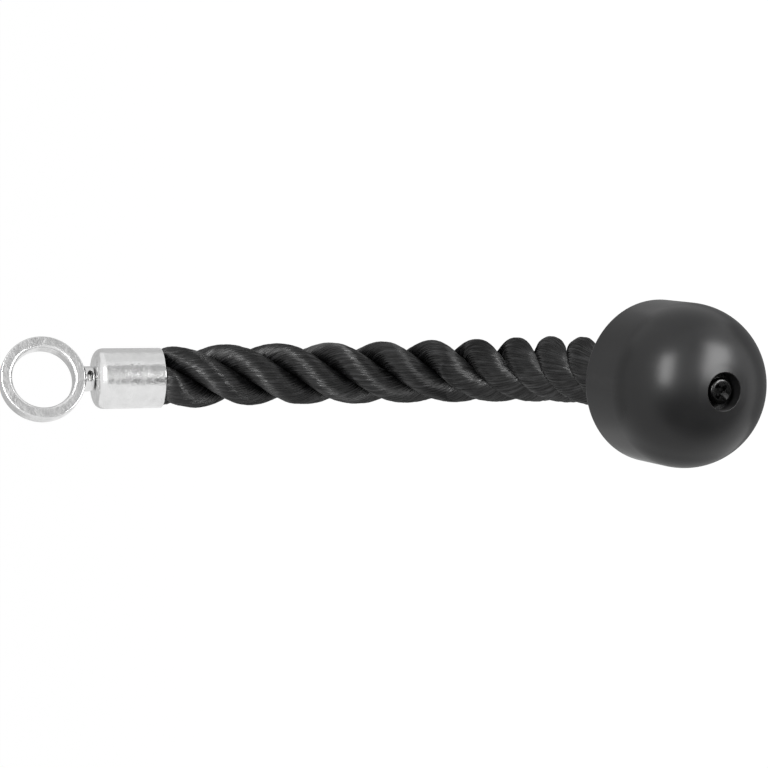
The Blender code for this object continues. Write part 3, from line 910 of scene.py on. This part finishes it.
def make_ball(plastic):
    """A moulded ball: flat face and collar on the rope's side, then a full dome with the screw's recess."""
    power = 2 / BALL_FULLNESS
    recess_angle = acos(RECESS_FROM_AXIS ** (1 / power))
    dome = []
    for step in range(1, DOME_STEPS):
        angle = recess_angle * step / DOME_STEPS
        dome.append((BALL_RADIUS * cos(angle) ** power, -BALL_COLLAR - BALL_DOME * sin(angle) ** power, 0))
    corners = (
        (BALL_BORE_RADIUS, 0, BALL_BORE_EDGE),
        (BALL_RADIUS, 0, BALL_EDGE),
        (BALL_RADIUS, -BALL_COLLAR, 0),
        *dome[:-2],
        (RECESS_RADIUS, RECESS_RIM, RECESS_EDGE),
        (RECESS_RADIUS, RECESS_FLOOR, 0),
        (SCREW_RADIUS + FIT, RECESS_FLOOR, 0),
        (SCREW_RADIUS + FIT, -BALL_BORE_DEPTH, 0),
        (BALL_BORE_RADIUS, -BALL_BORE_DEPTH, 0),
    )
    ball = new_object("moulded_ball", moved(turned(corners, BALL_SIDES), ball_frame()), plastic)
    even_flats(ball)
    set_piece(ball, "ball", "ball_plastic", "ball_grip")


def make_screw_washer(steel):
    top = RECESS_FLOOR - FIT
    foot = top - SCREW_WASHER_THICKNESS
    corners = (
        (SCREW_RADIUS + FIT, top, 0),
        (SCREW_WASHER_RADIUS, top, SCREW_WASHER_EDGE),
        (SCREW_WASHER_RADIUS, foot, SCREW_WASHER_EDGE),
        (SCREW_RADIUS + FIT, foot, 0),
    )
    washer = new_object("blacked_washer", moved(turned(corners, BOSS_SIDES), ball_frame()), steel)
    even_flats(washer)
    set_piece(washer, "ball", "blacked_steel", "screw_washer")


def slot_wing(turn_deg, face):
    """One wing of the cross recess: a bar of full length at the screw's face, narrower inwards."""
    wing = bmesh.new()
    bmesh.ops.create_cube(wing, size=1)
    widened = 2 - SLOT_FOOT_SHARE
    bmesh.ops.scale(wing, verts=wing.verts, vec=(SLOT_LENGTH, SLOT_WIDTH, 2 * SLOT_DEPTH))
    for vert in wing.verts:
        vert.co.x *= SLOT_FOOT_SHARE if vert.co.z > 0 else widened
    bmesh.ops.translate(wing, verts=wing.verts, vec=(0, 0, face))
    bmesh.ops.rotate(wing, verts=wing.verts, matrix=Matrix.Rotation(radians(turn_deg), 3, "Z"))
    return wing


def make_screw(steel):
    """Pan head screw with a cross recess, head down in the ball and point up the rope's middle."""
    seat = RECESS_FLOOR - 2 * FIT - SCREW_WASHER_THICKNESS
    face = seat - SCREW_HEAD_HEIGHT
    point = seat + SCREW_LENGTH
    corners = (
        (0, point, 0),
        (SCREW_RADIUS, point - SCREW_TIP, 0),
        (SCREW_RADIUS, seat, 0),
        (SCREW_HEAD_RADIUS, seat, 0),
        (SCREW_HEAD_RADIUS, face, SCREW_HEAD_EDGE),
        (0, face, 0),
    )
    blank = turned(corners, BOSS_SIDES, closed=False)
    shape = carved(blank, (slot_wing(SLOT_TURN_DEG, face), slot_wing(SLOT_TURN_DEG + 90, face)))
    screw = new_object("blacked_screw", moved(shape, ball_frame()), steel)
    soften(screw, SLOT_EDGE)
    set_piece(screw, "ball", "blacked_steel", "ball_screw")


def dress_hidden_nodes(zinc, yarn):
    """The pieces inside the cap and the ball keep their frame meshes."""
    for node, finish in (("swivel_washer", zinc), ("top_seal", yarn), ("low_seal", yarn)):
        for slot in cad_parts[node].material_slots:
            slot.material = finish


def main():
    bpy.context.scene.view_settings.view_transform = "Standard"
    place_camera()
    yarn = rope_finish()
    rope = make_rope(yarn)
    light_studio()
    plated = plated_finish("plated_steel_finish", CAP_GREYS, CAP_ROUGHNESS)
    zinc = zinc_finish()
    blacked = blacked_finish()
    make_ring(plated_finish("plated_ring_finish", RING_GREYS, RING_ROUGHNESS))
    make_boss(plated)
    make_bolt(zinc)
    make_cap(plated)
    make_ball(ball_finish())
    make_screw_washer(blacked)
    make_screw(blacked)
    dress_hidden_nodes(zinc, yarn)
    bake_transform(rope)


main()
